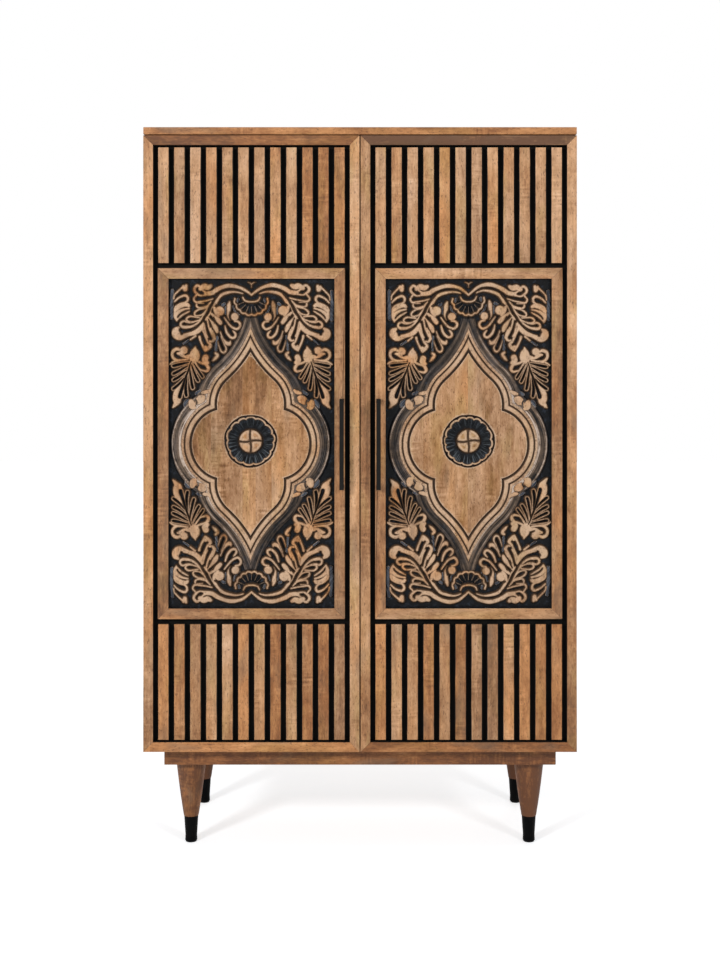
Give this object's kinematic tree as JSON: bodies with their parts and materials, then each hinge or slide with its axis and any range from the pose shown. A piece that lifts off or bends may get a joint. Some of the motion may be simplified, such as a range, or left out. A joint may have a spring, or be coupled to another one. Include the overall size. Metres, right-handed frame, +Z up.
{
  "type": "tall sideboard",
  "caption": "Tall wooden sideboard on tapered legs, with hinged doors that carry rows of slats and carved medallion panels, and shelves inside.",
  "frame": {"origin": "on the floor, at the centre of the overall width and depth, handles included", "axes": "+X to the right as seen from the doors, +Y from the doors to the back, +Z up"},
  "size_m": [0.9, 0.428, 1.513],
  "materials": {
    "mango_wood": "natural mango wood, brushed and oiled, matt, each slat of its own tone",
    "inner_wood": "natural mango wood, sanded, matt",
    "carved_wood": "carved, blackened all over and rubbed back to the wood on the high places",
    "black_stain": "black stain, matt",
    "back_board": "stained plywood, matt",
    "black_metal": "black powder coat, satin",
    "zinc_steel": "zinc plated",
    "glide_plastic": "moulded",
    "catch_plastic": "moulded"
  },
  "bodies": {
    "cabinet": {"top_panel": "mango_wood", "left_side_panel": "mango_wood", "right_side_panel": "mango_wood", "plinth_front_rail": "mango_wood", "plinth_rear_rail": "mango_wood", "plinth_left_rail": "mango_wood", "plinth_right_rail": "mango_wood", "leg_front_left": "mango_wood", "leg_front_right": "mango_wood", "leg_rear_left": "mango_wood", "leg_rear_right": "mango_wood", "bottom_panel": "inner_wood", "lower_shelf": "inner_wood", "middle_shelf": "inner_wood", "upper_shelf": "inner_wood", "plinth_corner_blocks": "inner_wood", "back_panel": "back_board", "ferrule_front_left": "black_metal", "ferrule_front_right": "black_metal", "ferrule_rear_left": "black_metal", "ferrule_rear_right": "black_metal", "back_panel_screws": "zinc_steel", "shelf_pins": "zinc_steel", "leg_bolts": "zinc_steel", "leg_bolt_nuts": "zinc_steel", "hinge_case_leaves": "zinc_steel", "hinge_pins": "zinc_steel", "hinge_case_screws": "zinc_steel", "leg_glides": "glide_plastic", "magnetic_catches": "catch_plastic"},
    "left_door": {"left_door_top_rail": "mango_wood", "left_door_bottom_rail": "mango_wood", "left_door_inner_stile": "mango_wood", "left_door_outer_stile": "mango_wood", "left_door_upper_slats": "mango_wood", "left_door_lower_slats": "mango_wood", "left_door_panel_frame": "mango_wood", "left_door_backing_board": "black_stain", "left_door_carved_panel": "carved_wood", "left_door_handle": "black_metal", "left_door_handle_screws": "zinc_steel", "left_door_hinge_leaves": "zinc_steel", "left_door_hinge_screws": "zinc_steel", "left_door_strike_plate": "zinc_steel"},
    "right_door": {"right_door_top_rail": "mango_wood", "right_door_bottom_rail": "mango_wood", "right_door_inner_stile": "mango_wood", "right_door_outer_stile": "mango_wood", "right_door_upper_slats": "mango_wood", "right_door_lower_slats": "mango_wood", "right_door_panel_frame": "mango_wood", "right_door_backing_board": "black_stain", "right_door_carved_panel": "carved_wood", "right_door_handle": "black_metal", "right_door_handle_screws": "zinc_steel", "right_door_hinge_leaves": "zinc_steel", "right_door_hinge_screws": "zinc_steel", "right_door_strike_plate": "zinc_steel"}
  },
  "joints": [
    {"name": "left_door_hinge", "type": "hinge", "parent": "cabinet", "child": "left_door", "pos_m": [-0.4473, -0.1606, 0.856], "axis": [0, 0, -1], "range_deg": [0, 95]},
    {"name": "right_door_hinge", "type": "hinge", "parent": "cabinet", "child": "right_door", "pos_m": [0.4473, -0.1606, 0.856], "axis": [0, 0, 1], "range_deg": [0, 95]}
  ]
}
